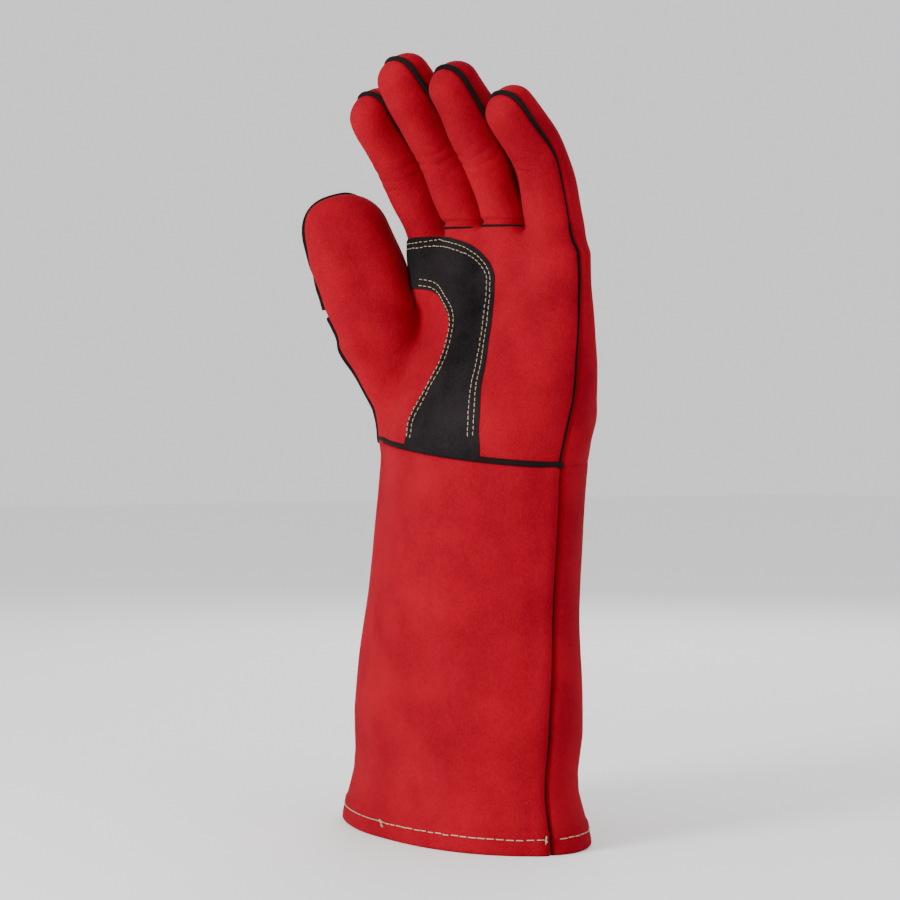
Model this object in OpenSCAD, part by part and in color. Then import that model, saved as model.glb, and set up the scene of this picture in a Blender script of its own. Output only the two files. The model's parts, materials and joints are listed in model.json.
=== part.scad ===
// Left-hand heat resistant gauntlet glove, standing on its cuff.
// The origin is the middle of the cuff's opening, +Z runs up the forearm,
// the palm faces -Y and the thumb is on the -X side.
// Every leather panel, welt and lining is its own solid. The glove bends at the
// wrist, at two places in each finger and at two places in the thumb.

/* [Cuff] */
// Height of the wrist seam above the cuff's rim
cuff_height = 190; // [150:1:230]
// Half width of the cuff's opening
rim_half_width = 82; // [78:1:84]
// Half depth of the cuff's opening
rim_half_depth = 46; // [44:1:50]
// Half width of the cuff at the wrist seam
wrist_half_width = 64; // [62:1:68]
// Half depth of the cuff at the wrist seam
wrist_half_depth = 44; // [42:1:46]
// How far the wrist lies behind the middle of the cuff's opening
wrist_back = 13; // [6:1:16]
// Slope of the wrist seam, lower on the little finger's side
wrist_tilt = 7; // [0:1:9]
// Depth of leather turned in at the hem
hem_depth = 12; // [8:1:20]

/* [Hand] */
// Length from the wrist seam to the knuckle hinge
palm_length = 106; // [98:1:110]
// Half width of the hand at the knuckles
knuckle_half_width = 60; // [60:1:62]
// Half depth of the hand at the knuckles
knuckle_half_depth = 18; // [17:1:20]
// How far the hand leans back from the cuff
hand_lean = 2; // [0:1:6]
// How much of the wrist seam's slope is gone at the knuckles
hand_upright = 5; // [0:1:7]

/* [Fingers] */
// Distance from one finger to the next
finger_pitch = 29; // [28:0.5:30]
// Half width of a finger at its base
finger_half_width = 13.2; // [12:0.1:13.2]
// Half depth of a finger at its base
finger_half_depth = 15; // [12:0.5:16]
// Length from knuckle hinge to middle hinge: index, middle, ring, little
base_lengths = [42, 49, 45, 38];
// Length from middle hinge to tip: index, middle, ring, little
tip_lengths = [46, 55, 50, 41];
// Angle of each finger to the palm: index, middle, ring, little
knuckle_bends = [30, 28, 27, 16];
// Further bend at each middle hinge: index, middle, ring, little
middle_bends = [6, 9, 8, 24];

/* [Thumb] */
// Half width of the thumb at its base
thumb_half_width = 24; // [20:0.5:25]
// Half depth of the thumb at its base
thumb_half_depth = 15; // [13:0.5:17]
// Length from the thumb's base hinge to its middle hinge
thumb_base_length = 36; // [32:1:40]
// Length from the thumb's middle hinge to its tip
thumb_tip_length = 39; // [36:1:44]
// Turn of the thumb's face away from the palm's face
thumb_turn = 55; // [40:1:65]
// Lean of the thumb away from the hand
thumb_lean = 23; // [14:1:28]

// Lean of the thumb's tip away from the front of the palm
thumb_tilt = 14; // [0:1:18]

/* [Movement] */
// How far a finger bends further at its knuckle
finger_flex = 38; // [20:1:40]
// How far a finger straightens at its knuckle
finger_extend = 15; // [5:1:15]
// How much a middle hinge turns for each degree at the hinge below it
middle_share = 0.8; // [0.4:0.1:0.8]
// How far the thumb bends towards the palm at its base
thumb_flex = 22; // [10:1:22]
// How far the thumb opens at its base
thumb_extend = 10; // [5:1:15]

/* [Leather] */
// Thickness of the leather
leather = 1.6; // [1.2:0.1:1.8]
// Thickness of the lining
lining = 1.4; // [1:0.1:1.6]
// Thickness of the welt sewn into each seam
welt = 1.1; // [0.8:0.1:1.2]
// How far a welt stands out of its seam
welt_proud = 0.9; // [0.5:0.1:0.9]

/* [Hidden] */
FINGERS = ["index", "middle", "ring", "little"];

RED = [0.72, 0.09, 0.11];
BLACK = [0.10, 0.10, 0.11];
CREAM = [0.88, 0.83, 0.72];
LINEN = [0.80, 0.77, 0.70];
EPS = 0.001;

half_welt = welt / 2;
seam_half_gap = half_welt + 0.2; // a panel's edge stays this far from the seam's middle
layer_gap = 0.2;                 // between leather and lining
lining_inset = leather + layer_gap;
cavity_inset = lining_inset + lining;
welt_depth = 1.5;                // how far a welt reaches into its seam
hinge_gap = 0.8;                 // from a hinge's axis to the nearest leather edge
welt_gap = 3.5;                  // and to the nearest end of a digit's welt
wedge_margin = 3.5;              // spare angle at each leather edge beside a hinge
half_cols = 12;                  // columns in half a ring
thread = 0.7;                    // diameter of the sewing thread

// The hand's root sits inside the top of the cuff, so that the wrist can turn.
root_clearance = 2.5;
root_half_width = wrist_half_width - cavity_inset - root_clearance + 1;
root_half_depth = wrist_half_depth - cavity_inset - root_clearance;
root_turn = 24;                  // how far the root curves in under the wrist hinge
wrist_swing = 20;                // leather on the hand stays clear of this swing
root_skirt = 2.5;

palm_bow = 7;                    // the palm's middle lies this far behind a straight line
window_bottom = 0.14;            // the thumb's window in the palm, as shares of its length
window_top = 0.76;
window_far = 258;                // and its far edge, as an angle round the hand
thumb_root = [-58, -31, 54];     // thumb's base hinge, in the hand's frame

finger_x = [for (i = [0:3]) (i - 1.5) * finger_pitch];
finger_y = [-5, 0, 3, 3];       // the knuckles arch forward towards the index finger
finger_scale = [1, 1, 1, 0.95];
finger_taper = 0.86;             // a digit's width at its tip, as a share of its base
thumb_taper = 0.92;

function mix(a, b, k) = a + (b - a) * k;
function smooth(k) = k * k * (3 - 2 * k);
function bump(angle, power) = pow(max(abs(sin(angle)), EPS), power);
function arc(from, to, n = half_cols) = [for (j = [0:n]) mix(from, to, j / n)];

// Leather is cut back on both sides of a hinge so that it can turn: [palm angle, back angle].
function wedge(flex, extend, bend) = [(flex + bend) / 2 + wedge_margin, (extend - bend) / 2 + wedge_margin];
function cut_back(y, wedge) = hinge_gap + abs(y) * tan(y < 0 ? wedge[0] : wedge[1]);

// ---- Solids made from grids of points ----

// A sheet with thickness between two grids of the same size. Columns run anticlockwise
// round the part and rows run up it. keep(row, column) says which cells are there.
module sheet(outer, inner, keep = function(i, j) true, closed = false) {
    rows = len(outer);
    cols = len(outer[0]);
    cells = closed ? cols : cols - 1;
    function id(i, j, s) = (s * rows + i) * cols + j % cols;
    function has(i, j) = i >= 0 && i < rows - 1 && (closed || (j >= 0 && j < cells))
        && keep(i, (j + cells) % cells);
    function quad(a, b, c, d) = [[a, b, c], [a, c, d]];
    polyhedron(
        points = concat([for (row = outer) each row], [for (row = inner) each row]),
        faces = [for (i = [0:rows - 2], j = [0:cells - 1]) if (has(i, j)) each concat(
            quad(id(i, j, 0), id(i + 1, j, 0), id(i + 1, j + 1, 0), id(i, j + 1, 0)),
            quad(id(i, j, 1), id(i, j + 1, 1), id(i + 1, j + 1, 1), id(i + 1, j, 1)),
            has(i - 1, j) ? [] : quad(id(i, j, 0), id(i, j + 1, 0), id(i, j + 1, 1), id(i, j, 1)),
            has(i + 1, j) ? []
                : quad(id(i + 1, j, 0), id(i + 1, j, 1), id(i + 1, j + 1, 1), id(i + 1, j + 1, 0)),
            has(i, j - 1) ? [] : quad(id(i, j, 0), id(i, j, 1), id(i + 1, j, 1), id(i + 1, j, 0)),
            has(i, j + 1) ? []
                : quad(id(i, j + 1, 0), id(i + 1, j + 1, 0), id(i + 1, j + 1, 1), id(i, j + 1, 1)))]);
}

// The surface that lies a distance d inside a grid, along the grid's own normals.
function inside(grid, d) =
    let (rows = len(grid) - 1, cols = len(grid[0]) - 1)
    [for (i = [0:rows]) [for (j = [0:cols])
        let (along = grid[i][min(j + 1, cols)] - grid[i][max(j - 1, 0)],
             up = grid[min(i + 1, rows)][j] - grid[max(i - 1, 0)][j],
             out = cross(along, up))
        grid[i][j] - out * d / norm(out)]];

// A flat strip of welt, thick along Y, with its left edge at the lower X.
module welt_strip(left_edge, right_edge) {
    half = [0, half_welt, 0];
    sheet([for (i = [0:len(left_edge) - 1]) [left_edge[i] - half, right_edge[i] - half]],
          [for (i = [0:len(left_edge) - 1]) [left_edge[i] + half, right_edge[i] + half]]);
}

// One stitch lying from p to q.
module stitch(p, q) {
    d = q - p;
    translate(p)
        rotate([0, acos(d[2] / norm(d)), atan2(d[1], d[0])])
            cylinder(d = thread, h = norm(d), $fn = 16);
}

// Stitches along a row of points, leaving the gaps between them bare.
module stitch_row(points) {
    for (i = [0:len(points) - 2])
        stitch(mix(points[i], points[i + 1], 0.15), mix(points[i], points[i + 1], 0.75));
}

// ---- Cuff ----

// A point on the cuff: k from the rim to the wrist seam, angle round it.
// side is -1 on the palm's half, 1 on the back's half and 0 on a whole ring.
function cuff_point(k, angle, side, inset) =
    let (a = mix(rim_half_width, wrist_half_width, k) - inset,
         b = mix(rim_half_depth, wrist_half_depth, k) - inset,
         x = a * cos(angle),
         y = side == 0 ? b * sin(angle)
                       : side * (seam_half_gap + (b - seam_half_gap) * abs(sin(angle))))
    [x, y + wrist_back * k, k * (cuff_height - x * tan(wrist_tilt))];

function cuff_half(ks, side, insets) =
    [for (i = [0:len(ks) - 1]) [for (t = side < 0 ? arc(180, 360, 20) : arc(0, 180, 20))
        cuff_point(ks[i], t, side, insets[i])]];

hem_k = hem_depth / cuff_height;
cuff_ks = [0, hem_k, hem_k + 0.004, 0.28, 0.5, 0.75, 1];
turned_in = 2 * leather + layer_gap;

module cuff_panel(side) {
    color(RED)
        sheet(cuff_half(cuff_ks, side, [0, 0, 0, 0, 0, 0, 0]),
              cuff_half(cuff_ks, side,
                        [turned_in, turned_in, leather, leather, leather, leather, leather]));
}

module cuff_palm_panel() { cuff_panel(-1); }
module cuff_back_panel() { cuff_panel(1); }

module cuff_lining() {
    ks = [hem_k + 0.01, 0.28, 0.5, 0.75, 0.985];
    function tube(inset) = [for (k = ks) [for (j = [0:35]) cuff_point(k, 10 * j, 0, inset)]];
    color(LINEN) sheet(tube(lining_inset), tube(cavity_inset), closed = true);
}

module cuff_side_welt(angle) {
    function edge(inset) = [for (k = [0:0.125:1]) cuff_point(k, angle, 0, inset)];
    out = cos(angle) > 0;
    color(BLACK) welt_strip(edge(out ? welt_depth : -welt_proud), edge(out ? -welt_proud : welt_depth));
}

module cuff_little_side_welt() { cuff_side_welt(0); }
module cuff_thumb_side_welt() { cuff_side_welt(180); }

module wrist_welt() {
    function band(inset) = [for (k = [0.988, 1]) [for (j = [0:35]) cuff_point(k, 10 * j, 0, inset)]];
    color(BLACK) sheet(band(-welt_proud - 0.2 - welt), band(-welt_proud - 0.2), closed = true);
}

module hem_stitching() {
    pitch = 5;
    count = 30;
    lift = -thread / 2 - 0.3;
    color(CREAM) for (side = [-1, 1])
        stitch_row([for (j = [0:count]) cuff_on_facets(hem_k * 0.9, mix(4, 176, j / count), side, lift)]);
}

// The same point measured on the flat facets between the panel's columns.
function cuff_on_facets(k, t, side, inset) =
    let (step = 9, start = side < 0 ? 180 : 0, j = floor(t / step))
    mix(cuff_point(k, start + j * step, side, inset),
        cuff_point(k, start + (j + 1) * step, side, inset), t / step - j);

// ---- Hand, in a frame whose origin is the wrist hinge ----

module hand_frame() {
    translate([0, wrist_back, cuff_height]) rotate([-hand_lean, wrist_tilt, 0]) children();
}

function knuckle_y(x) = lookup(x, [for (i = [0:3]) [finger_x[i], finger_y[i]]]);
function finger_wedge(i) = wedge(finger_flex, finger_extend, knuckle_bends[i]);
function knuckle_wedge(x) = [for (n = [0, 1])
    lookup(x, [for (i = [0:3]) [finger_x[i], finger_wedge(i)[n]]])];

// The middle of the hand's section at k, and the way the section turns there.
function hand_middle(k) =
    [-k * k * palm_length * tan(hand_upright) / 2, palm_bow * sin(180 * k), k * palm_length];
function turn_z(p, t) = [p[0] * cos(t) - p[1] * sin(t), p[0] * sin(t) + p[1] * cos(t), p[2]];
function turn_y(p, t) = [p[0] * cos(t) + p[2] * sin(t), p[1], p[2] * cos(t) - p[0] * sin(t)];

// A section of the hand, flat: x across, y through, both from the section's middle.
function hand_section(k, angle, side, inset) =
    let (a = mix(root_half_width, knuckle_half_width, smooth(k)) - inset,
         b = mix(root_half_depth, knuckle_half_depth, smooth(min(1, k * 1.1))) - inset,
         rise = bump(angle, mix(1, 0.62, k)),
         h = side == 0 ? (angle > 180 ? -1 : 1) * b * rise
                       : side * (seam_half_gap + (b - seam_half_gap) * rise))
    [a * cos(angle), h, 0];

// A point on the hand: k from the wrist hinge to the knuckles, angle round it.
function hand_point(k, angle, side, inset) =
    let (p = hand_section(k, angle, side, inset))
    hand_middle(k) + turn_y(p + [0, k * k * knuckle_y(p[0]), 0], -hand_upright * k);

// The root curves in below the hinge, as a surface turned about the wrist's axis.
function root_point(turn, angle, side, inset) =
    let (p = hand_section(0, angle, side, inset))
    [p[0], p[1] * cos(turn), -abs(p[1]) * sin(turn)];

// The edge at the knuckles, cut back so that the fingers can bend.
function knuckle_point(angle, side, inset) =
    let (p = hand_section(1, angle, side, inset))
    hand_middle(1) + turn_y(p + [0, knuckle_y(p[0]), -cut_back(p[1], knuckle_wedge(p[0]))], -hand_upright);

hand_ks = [0, 0.07, window_bottom, 0.25, 0.36, 0.47, 0.58, 0.67, window_top, 0.82];
first_hand_row = 2;      // rows below this belong to the root
window_first_row = first_hand_row + 2;
window_last_row = first_hand_row + 7;
window_first_col = 2;    // the palm's columns that the window takes
window_last_col = 7;
palm_cols = 17;

// The window's near edge slants from the wrist's palm side to the index side seam.
function window_near(k) = mix(214, 186, min(1, k / window_top));
function palm_angle(k, c) =
    c <= window_first_col ? mix(180, window_near(k), c / window_first_col)
    : c <= window_last_col ? mix(window_near(k), window_far,
                                 (c - window_first_col) / (window_last_col - window_first_col))
    : mix(window_far, 360, (c - window_last_col) / (palm_cols - window_last_col));

// Rows of points up the hand. angles(k) gives the columns at k.
function hand_grid(angles, side, inset) = concat(
    [for (turn = [root_turn, root_turn / 2]) [for (t = angles(0)) root_point(turn, t, side, inset)]],
    [for (k = hand_ks) [for (t = angles(k)) hand_point(k, t, side, inset)]],
    [[for (t = angles(1)) knuckle_point(t, side, inset)]]);

function in_window(i, c) = i >= window_first_row && i <= window_last_row
    && c >= window_first_col && c < window_last_col;

module palm_panel() {
    angles = function(k) [for (c = [0:palm_cols]) palm_angle(k, c)];
    color(RED) sheet(hand_grid(angles, -1, 0), hand_grid(angles, -1, leather),
                     function(i, j) !in_window(i, j));
}

module back_panel() {
    angles = function(k) arc(0, 180, 16);
    color(RED) sheet(hand_grid(angles, 1, 0), hand_grid(angles, 1, leather));
}

module hand_lining() {
    back_cols = 15;
    angles = function(k) concat([for (c = [0:back_cols - 1]) 180 * c / back_cols],
                                [for (c = [0:palm_cols - 1]) palm_angle(k, c)]);
    color(LINEN) sheet(hand_grid(angles, 0, lining_inset), hand_grid(angles, 0, cavity_inset),
                       function(i, j) !in_window(i, j - back_cols), closed = true);
}

module hand_side_welt(angle, ks) {
    function edge(inset) = [for (k = ks) hand_point(k, angle, 0, inset)];
    out = cos(angle) > 0;
    color(BLACK) welt_strip(edge(out ? welt_depth : -welt_proud), edge(out ? -welt_proud : welt_depth));
}

module hand_little_side_welt() { hand_side_welt(0, [0.02, 0.2, 0.4, 0.6, 0.8, 0.985]); }
module hand_index_side_welt() { hand_side_welt(180, [window_top + 0.04, 0.82, 0.85, 0.88]); }

// Black patch down the palm beside the thumb and across the thumb's crotch.
patch_lift = 0.9;
patch_ks = [for (k = hand_ks) if (k >= window_bottom) k];
patch_top = patch_ks[len(patch_ks) - 1];
patch_side = 194;        // angle of its edge beside the index finger
patch_near = window_far + 2;
function patch_far(k) = lookup(k, [[0.4, 313], [0.7, 306], [window_top, 300], [patch_top, 290]]);
function swing_clear(p) = [p[0], p[1], max(p[2], root_skirt + abs(p[1]) * tan(wrist_swing))];
function on_palm(k, angle, lift) = swing_clear(hand_point(k, angle, -1, -lift));

module thumb_crotch_patch() {
    cols = 6;
    function layer(lift) = [for (k = patch_ks) concat(
        [for (c = [0:cols - 1]) on_palm(k, mix(patch_side, patch_near, c / cols), lift)],
        [for (c = [0:cols]) on_palm(k, mix(patch_near, patch_far(k), c / cols), lift)])];
    color(BLACK) sheet(layer(patch_lift + leather), layer(patch_lift),
                       function(i, j) j >= cols || patch_ks[i] >= window_top);
}

// Two rows of stitches beside each long edge of the patch.
module patch_stitching() {
    lift = patch_lift + leather + 0.6;
    stitches = 28;
    row_insets = [3, 8]; // degrees in from the edge
    color(CREAM) for (d = row_insets) {
        stitch_row([for (n = [0:stitches]) on_palm(mix(0.16, 0.74, n / stitches), patch_near + d, lift)]);
        stitch_row([for (n = [0:stitches]) let (k = mix(0.16, patch_top - 0.02, n / stitches))
            on_palm(k, patch_far(k) - d, lift)]);
    }
}

// ---- Digits: each in a frame whose origin is its hinge, bending towards -Y ----

// Rows are [height, half width, half depth, edge, wedge], where edge is 1 on an edge
// above a hinge, -1 on an edge below one and 0 elsewhere.
function digit_point(row, angle, side) =
    let (h = side == 0 ? (angle > 180 ? -1 : 1) * row[2] * bump(angle, 0.85)
                       : side * (seam_half_gap + (row[2] - seam_half_gap) * bump(angle, 0.85)))
    [row[1] * cos(angle), h, row[0] + (row[3] == 0 ? 0 : row[3] * cut_back(h, row[4]))];

function digit_grid(rows, side) =
    [for (row = rows) [for (t = side < 0 ? arc(180, 360) : side > 0 ? arc(0, 180)
                                : [for (j = [0:23]) 15 * j]) digit_point(row, t, side)]];

// A digit's size at a share k of its whole length, where end is the share left at its tip.
function taper(size, k, end) = size * mix(1, end, k);

// A digit is [base length, tip length, half width, half depth, share left at its tip,
// wedge at its base hinge, wedge at its middle hinge].
function base_rows(d, inset) =
    let (k = d[0] / (d[0] + d[1]))
    [for (row = [[0, 0, 1, d[5]], [d[0] / 2, k / 2, 0], [d[0], k, -1, d[6]]])
        [row[0], taper(d[2], row[1], d[4]) - inset, taper(d[3], row[1], d[4]) - inset, row[2], row[3]]];

function tip_rows(d, inset) =
    let (k = d[0] / (d[0] + d[1]), a = taper(d[2], 1, d[4]), b = taper(d[3], 1, d[4]))
    concat([[0, taper(d[2], k, d[4]) - inset, taper(d[3], k, d[4]) - inset, 1, d[6]]],
           [for (t = [0, 30, 55, 76])
               [d[1] - a + (a - inset) * sin(t), (a - inset) * cos(t), (b - inset) * pow(cos(t), 0.8), 0]]);

module digit_panel(outer_rows, inner_rows, side) {
    color(RED) sheet(digit_grid(outer_rows, side), digit_grid(inner_rows, side));
}

module digit_lining(outer_rows, inner_rows) {
    color(LINEN) sheet(digit_grid(outer_rows, 0), digit_grid(inner_rows, 0), closed = true);
}

// Two straight strips of welt, one down each side of a digit's base.
module base_welt(d, start) {
    a1 = taper(d[2], d[0] / (d[0] + d[1]), d[4]);
    color(BLACK) rotate([90, 0, 0]) linear_extrude(welt, center = true) for (s = [-1, 1])
        polygon([for (e = [[d[2] + welt_proud, start], [a1 + welt_proud, d[0] - welt_gap],
                           [a1 - welt_depth, d[0] - welt_gap], [d[2] - welt_depth, start]])
            [s * e[0], e[1]]]);
}

// One strip of welt up one side of a digit's tip, round its end and down the other.
module tip_welt(d) {
    a0 = taper(d[2], d[0] / (d[0] + d[1]), d[4]);
    a1 = taper(d[2], 1, d[4]);
    function outline(out) = concat([[a0 + out, welt_gap]],
        [for (t = [0:15:180]) [(a1 + out) * cos(t), d[1] - a1 + (a1 + out) * sin(t)]],
        [[-a0 - out, welt_gap]]);
    inner_edge = outline(-welt_depth);
    color(BLACK) rotate([90, 0, 0]) linear_extrude(welt, center = true)
        polygon(concat(outline(welt_proud), [for (i = [len(inner_edge) - 1:-1:0]) inner_edge[i]]));
}

// The four pieces of a digit's base and the four of its tip.
module digit_base_panel(d, side) { digit_panel(base_rows(d, 0), base_rows(d, leather), side); }
module digit_base_lining(d) { digit_lining(base_rows(d, lining_inset), base_rows(d, cavity_inset)); }
module digit_tip_panel(d, side) { digit_panel(tip_rows(d, 0), tip_rows(d, leather), side); }
module digit_tip_lining(d) { digit_lining(tip_rows(d, lining_inset), tip_rows(d, cavity_inset)); }

function finger(i) = [base_lengths[i], tip_lengths[i], finger_half_width * finger_scale[i],
                      finger_half_depth * finger_scale[i], finger_taper, finger_wedge(i),
                      wedge(finger_flex * middle_share, finger_extend * middle_share, middle_bends[i])];

module finger_frame(i) {
    hand_frame() translate(hand_middle(1)) rotate([0, -hand_upright, 0])
        translate([finger_x[i], finger_y[i], 0]) rotate([knuckle_bends[i], 0, 0]) children();
}

module finger_tip_frame(i) {
    finger_frame(i) translate([0, 0, base_lengths[i]]) rotate([middle_bends[i], 0, 0]) children();
}

module finger_front(i) { finger_frame(i) digit_base_panel(finger(i), -1); }
module finger_back(i) { finger_frame(i) digit_base_panel(finger(i), 1); }
module finger_lining(i) { finger_frame(i) digit_base_lining(finger(i)); }
module finger_welt(i) { finger_frame(i) base_welt(finger(i), welt_gap); }
module finger_tip_front(i) { finger_tip_frame(i) digit_tip_panel(finger(i), -1); }
module finger_tip_back(i) { finger_tip_frame(i) digit_tip_panel(finger(i), 1); }
module finger_tip_lining(i) { finger_tip_frame(i) digit_tip_lining(finger(i)); }
module finger_tip_welt(i) { finger_tip_frame(i) tip_welt(finger(i)); }

// ---- Thumb ----

thumb = [thumb_base_length, thumb_tip_length, thumb_half_width, thumb_half_depth, thumb_taper,
         wedge(thumb_flex, thumb_extend, 0),
         wedge(thumb_flex * middle_share, thumb_extend * middle_share, 0)];
thumb_welt_start = 11;   // the wing covers the thumb's sides below this

module thumb_frame() {
    hand_frame() translate(thumb_root) rotate([0, 0, thumb_turn]) rotate([0, -thumb_lean, 0])
        rotate([-thumb_tilt, 0, 0]) children();
}

module thumb_tip_frame() { thumb_frame() translate([0, 0, thumb_base_length]) children(); }

module thumb_front() { thumb_frame() digit_base_panel(thumb, -1); }
module thumb_back() { thumb_frame() digit_base_panel(thumb, 1); }
module thumb_lining() { thumb_frame() digit_base_lining(thumb); }
module thumb_welt() { thumb_frame() base_welt(thumb, thumb_welt_start); }
module thumb_tip_front() { thumb_tip_frame() digit_tip_panel(thumb, -1); }
module thumb_tip_back() { thumb_tip_frame() digit_tip_panel(thumb, 1); }
module thumb_tip_lining() { thumb_tip_frame() digit_tip_lining(thumb); }
module thumb_tip_welt() { thumb_tip_frame() tip_welt(thumb); }

// The wing joins the window in the palm to the thumb's base, in the hand's frame.
function turn_x(p, t) = [p[0], p[1] * cos(t) - p[2] * sin(t), p[1] * sin(t) + p[2] * cos(t)];
function from_thumb(p) = thumb_root + turn_z(turn_y(turn_x(p, -thumb_tilt), -thumb_lean), thumb_turn);
wing_lift = leather + 0.6;
wing_clearance = 2.5;
wing_top = window_top - 0.06;
wing_split = 4; // angle between the front's edge and the back's

// The wing's upper end, just below the thumb's base hinge. c runs from the outer seam
// (0) to the crotch (1).
function wing_ring(c, side) =
    from_thumb(digit_point([-wing_clearance, thumb_half_width, thumb_half_depth, -1, thumb[5]],
                           side < 0 ? 180 + 180 * c : 180 - 180 * c, side));

// The window's edge. The front goes along its bottom, up its far edge and back along
// its top, the back goes up its near edge and along its top to meet the front.
function window_edge(c, side) =
    side < 0
    ? (c < 0.4 ? on_palm(window_bottom,
                         mix(window_near(window_bottom) + wing_split, window_far, c / 0.4), wing_lift)
     : c < 0.85 ? on_palm(mix(window_bottom, wing_top, (c - 0.4) / 0.45), window_far, wing_lift)
                : on_palm(wing_top, mix(window_far, 220 + wing_split, (c - 0.85) / 0.15), wing_lift))
    : (c < 0.75 ? on_palm(mix(window_bottom, wing_top, c / 0.75),
                          window_near(mix(window_bottom, wing_top, c / 0.75)) - wing_split, wing_lift)
                : on_palm(wing_top, mix(window_near(wing_top) - wing_split, 218, (c - 0.75) / 0.25),
                          wing_lift));

// The wing's outer surface, which swells by wing_bulge between its two ends.
wing_bulge = 5;
wing_cols = 12;
function wing_grid(side) =
    let (swell = side * wing_bulge * turn_z([0, 1, 0], thumb_turn))
    [for (r = [0, 0.35, 0.7, 1]) [for (j = [0:wing_cols])
        let (c = side < 0 ? j / wing_cols : 1 - j / wing_cols)
        mix(window_edge(c, side), wing_ring(c, side), r) + sin(180 * r) * sin(180 * c) * swell]];

module thumb_wing_panel(side) { color(RED) sheet(wing_grid(side), inside(wing_grid(side), leather)); }
module thumb_wing_front() { hand_frame() thumb_wing_panel(-1); }
module thumb_wing_back() { hand_frame() thumb_wing_panel(1); }

module thumb_wing_welt() {
    foot = on_palm(window_bottom, window_near(window_bottom), leather + 3);
    function edge(out) = [for (r = [0.3:0.14:1])
        mix(foot, from_thumb([-thumb_half_width, 0, -hinge_gap]), r)
            + out * turn_z([-cos(thumb_lean), 0, -sin(thumb_lean)], thumb_turn)];
    color(BLACK) hand_frame() welt_strip(edge(welt_proud + 2.2), edge(1.8));
}

// ---- Nodes ----

cuff_palm_panel();
cuff_back_panel();
cuff_lining();
cuff_little_side_welt();
cuff_thumb_side_welt();
wrist_welt();
hem_stitching();
hand_frame() palm_panel();
hand_frame() back_panel();
hand_frame() hand_lining();
hand_frame() hand_little_side_welt();
hand_frame() hand_index_side_welt();
hand_frame() thumb_crotch_patch();
hand_frame() patch_stitching();
thumb_wing_front();
thumb_wing_back();
thumb_wing_welt();
thumb_front();
thumb_back();
thumb_lining();
thumb_welt();
thumb_tip_front();
thumb_tip_back();
thumb_tip_lining();
thumb_tip_welt();
for (i = [0:3]) {
    finger_front(i);
    finger_back(i);
    finger_lining(i);
    finger_welt(i);
    finger_tip_front(i);
    finger_tip_back(i);
    finger_tip_lining(i);
    finger_tip_welt(i);
}
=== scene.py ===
import json
import math
import bpy
import numpy as np
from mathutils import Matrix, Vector


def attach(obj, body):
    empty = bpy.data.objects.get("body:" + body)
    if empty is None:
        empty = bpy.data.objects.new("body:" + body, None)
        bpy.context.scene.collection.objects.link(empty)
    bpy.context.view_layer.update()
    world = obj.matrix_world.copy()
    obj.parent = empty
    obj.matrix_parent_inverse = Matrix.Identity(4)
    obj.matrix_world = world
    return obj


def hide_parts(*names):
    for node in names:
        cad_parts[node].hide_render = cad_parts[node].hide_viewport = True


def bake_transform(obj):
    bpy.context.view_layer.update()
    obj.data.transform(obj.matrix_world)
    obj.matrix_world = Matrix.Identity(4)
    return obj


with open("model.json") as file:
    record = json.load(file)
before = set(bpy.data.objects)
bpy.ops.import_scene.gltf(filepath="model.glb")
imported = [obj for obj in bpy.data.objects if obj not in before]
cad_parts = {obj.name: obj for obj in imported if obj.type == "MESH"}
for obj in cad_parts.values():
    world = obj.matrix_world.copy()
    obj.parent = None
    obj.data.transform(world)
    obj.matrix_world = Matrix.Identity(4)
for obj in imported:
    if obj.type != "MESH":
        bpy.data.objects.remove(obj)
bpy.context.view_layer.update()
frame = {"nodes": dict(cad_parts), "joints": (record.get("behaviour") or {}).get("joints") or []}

# Lengths are in millimetres until a mesh is made, and positions are along the frame's axes.
MM = 1000
rng = np.random.default_rng(7)
JOINT = {j["name"]: (np.array(j["pos_m"]) * MM, np.array(j["axis"])) for j in frame["joints"]}
FINGERS = ["index", "middle", "ring", "little"]
DIGITS = FINGERS + ["thumb"]
LEATHER = 1.6
LINING = 1.2
LINING_DEPTH = 2.0     # the lining's outer side lies this far inside the leather's
CELL = 1.35            # spacing of the points that make the leather's surface
LINING_CELL = 3.0
THREAD_SIDES = 6


def unit(v):
    v = np.asarray(v, float)
    return v / np.linalg.norm(v, axis=-1, keepdims=True)


def ease(k):
    """A smooth step from 0 to 1."""
    k = np.clip(k, 0, 1)
    return k * k * (3 - 2 * k)


def smin(a, b, r):
    """The smaller of two fields, rounded where they cross."""
    h = np.maximum(r - np.abs(a - b), 0) / r
    return np.minimum(a, b) - h * h * r / 4


def curve(points, step=1.5):
    """A smooth line through the points."""
    p = np.asarray(points, float)
    p = np.vstack([2 * p[0] - p[1], p, 2 * p[-1] - p[-2]])
    out = []
    for i in range(1, len(p) - 2):
        t = np.linspace(0, 1, 12, endpoint=False)[:, None]
        out.append(0.5 * (2 * p[i] + (p[i + 1] - p[i - 1]) * t
                          + (2 * p[i - 1] - 5 * p[i] + 4 * p[i + 1] - p[i + 2]) * t ** 2
                          + (3 * p[i] - p[i - 1] - 3 * p[i + 1] + p[i + 2]) * t ** 3))
    return resample(np.vstack(out + [p[-2:-1]]), step)


def resample(p, step):
    """Even points along a line."""
    d = np.concatenate([[0], np.cumsum(np.linalg.norm(np.diff(p, axis=0), axis=1))])
    n = max(2, int(round(d[-1] / step)) + 1)
    at = np.linspace(0, d[-1], n)
    return np.stack([np.interp(at, d, p[:, c]) for c in range(p.shape[1])], axis=1)


# ---- The leather's soft shape, as fields that are negative inside ----

WAVE_HEIGHT = 0.14
WAVES = [(unit(rng.normal(size=3)) * 2 * math.pi / rng.uniform(16, 48), rng.uniform(0, 6.28))
         for _ in range(14)]


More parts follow.
